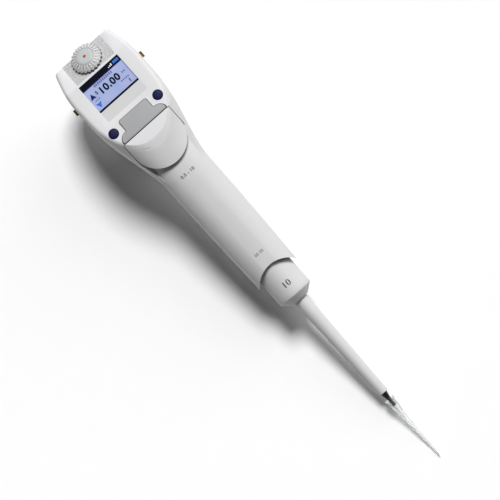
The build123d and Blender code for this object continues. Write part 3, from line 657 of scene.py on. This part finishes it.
# -------------------------------------------------------------------- the tip
def build_tip():
    """A clear tip: a ringed hub with fins, a stepped neck and a fine point."""
    outer = [
        (0.26, 0.0), (0.42, 0.0), (0.46, 1.0), (0.62, 8.0), (0.95, 18.0), (1.36, 27.0), (1.55, 30.0),
        (1.72, 31.4), (2.1, 33.4), (2.14, 34.4), (2.3, 34.6), (2.3, 35.2), (2.15, 35.4), (2.2, 38.4),
        (2.6, 38.6), (2.75, 38.8), (2.75, 39.75), (2.62, TIP_LENGTH), (1.4, TIP_LENGTH),
    ]
    inner = [(1.27, 39.9), (1.13, 35.3), (1.0, 30.0), (0.7, 18.0), (0.36, 6.0), (0.26, 0.0)]
    tip = bake("tip_body", lathe(outer + inner, 64), AXIS, MATERIALS["clear_polymer"], "tip")
    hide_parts("pipette_tip")
    for i in range(TIP_FINS):
        turn = Matrix.Rotation(2 * math.pi * i / TIP_FINS, 4, "Z")
        fin = prism([(2.05, -0.16), (2.66, -0.14), (2.66, 0.14), (2.05, 0.16)], 35.5, 38.6)
        clear = MATERIALS["clear_polymer"]
        bake(f"tip_fin_{i}", fin, AXIS @ turn, clear, "tip", 0.05, 2)


build_tip()


# --------------------------------------------------------- the ejector spring
def build_spring():
    """A coil on the cone's flange, wound along the pipette's own axis."""
    steps = 40
    sides = 10
    build = bmesh.new()
    rings = []
    length = SPRING_HIGH - SPRING_LOW
    for k in range(SPRING_TURNS * steps + 1):
        angle = 2 * math.pi * k / steps
        height = SPRING_LOW + SPRING_WIRE + (length - 2 * SPRING_WIRE) * k / (SPRING_TURNS * steps)
        ring = []
        for i in range(sides):
            around = 2 * math.pi * i / sides
            r = SPRING_RADIUS + SPRING_WIRE * math.cos(around)
            z = height + SPRING_WIRE * math.sin(around)
            ring.append(build.verts.new((r * math.cos(angle), r * math.sin(angle), z)))
        rings.append(ring)
    skin(build, rings, sides)
    build.faces.new(rings[0][::-1])
    build.faces.new(rings[-1])
    spring = bake("spring_coil", build, AXIS, MATERIALS["steel"], "housing")
    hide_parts("ejector_spring")
    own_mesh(spring)


build_spring()


# ------------------------------------------------------------- printed marks
def axis_print(name, body, size, z, front, node, material, ride_body, bold=0.0):
    """Numerals on the front of a round part, at a height on the axis."""
    place = AXIS @ Matrix.Translation((0, -front, z)) @ Euler((math.pi / 2, 0, 0)).to_matrix().to_4x4()
    build = on_surface(text_build(body, size, bold, 0.02, 1.1), place, nodes[node], 0.02)
    return bake(name, build, place, material, ride_body)


axis_print("collar_number", "10", 4.6, 119.4, 10.1, "ejector_collar", PRINT_GREY, "ejector", 0.09)
axis_print("range_number", "0.5 - 10", 2.5, 195.2, 13.0, "front_cover", PRINT_GREY, "housing", 0.05)
axis_print("series_number", "00 00", 2.2, 140.5, 13.0, "front_cover", PRINT_SOFT, "housing", 0.05)


# ------------------------------------------------------------ softened shells
for shell_node, shell_body, radius in (
    ("front_cover", "housing", 0.3),
    ("rear_housing", "housing", 0.3),
    ("face_bezel", "housing", 0.25),
    ("finger_hook", "housing", 0.9),
    ("battery_cover", "battery_door", 0.25),
    ("ejector_button", "ejector", 0.3),
    ("ejector_crest", "ejector", 0.2),
    ("ejector_collar", "ejector", 0.25),
    ("ejector_sleeve", "ejector", 0.2),
):
    refined(shell_node, shell_body, radius, record_slots[shell_node])


# ------------------------------------------------------------ floor and light
def build_stage():
    build = bmesh.new()
    bmesh.ops.create_grid(build, x_segments=1, y_segments=1, size=FLOOR_HALF_SIZE)
    mesh = bpy.data.meshes.new("floor")
    build.to_mesh(mesh)
    build.free()
    floor = bpy.data.objects.new("floor", mesh)
    bpy.context.scene.collection.objects.link(floor)
    floor.location.z = -0.02 * MM
    mesh.materials.append(moulded("floor_paper", (0.93, 0.93, 0.93), 0.8, 8.0, 0.02, 0.004))


def sun(name, towards, energy, angle):
    """A soft distant lamp; towards points from the pipette to the lamp."""
    data = bpy.data.lights.new(name, "SUN")
    data.angle = math.radians(angle)
    data.energy = energy
    lamp = bpy.data.objects.new(name, data)
    bpy.context.scene.collection.objects.link(lamp)
    lamp.rotation_mode = "QUATERNION"
    lamp.rotation_quaternion = (-Vector(towards)).to_track_quat("-Z", "Y")


def build_lights():
    sun("key", (0.36, 0.44, 0.82), 3.35, 20)
    sun("fill", (0.80, 0.20, 0.56), 0.8, 40)
    world = bpy.data.worlds.new("studio")
    bpy.context.scene.world = world
    world.use_nodes = True
    world.node_tree.nodes["Background"].inputs["Color"].default_value = (1, 1, 1, 1)
    world.node_tree.nodes["Background"].inputs["Strength"].default_value = 0.045


def build_camera():
    azimuth = math.radians(CAMERA_AZIMUTH)
    elevation = math.radians(CAMERA_ELEVATION)
    back = Vector((
        math.sin(azimuth) * math.cos(elevation),
        -math.cos(azimuth) * math.cos(elevation),
        math.sin(elevation),
    ))
    data = bpy.data.cameras.new("camera")
    data.lens = CAMERA_LENS
    data.sensor_width = 36
    data.clip_start = 0.01
    camera = bpy.data.objects.new("camera", data)
    bpy.context.scene.collection.objects.link(camera)
    camera.location = AXIS @ Vector(CAMERA_AIM) + back * CAMERA_DISTANCE
    camera.rotation_mode = "QUATERNION"
    roll = Quaternion((0, 0, 1), math.radians(CAMERA_ROLL))
    camera.rotation_quaternion = (-back).to_track_quat("-Z", "Y") @ roll
    bpy.context.scene.camera = camera


build_stage()
build_lights()
build_camera()
bpy.context.scene.view_settings.view_transform = "Standard"
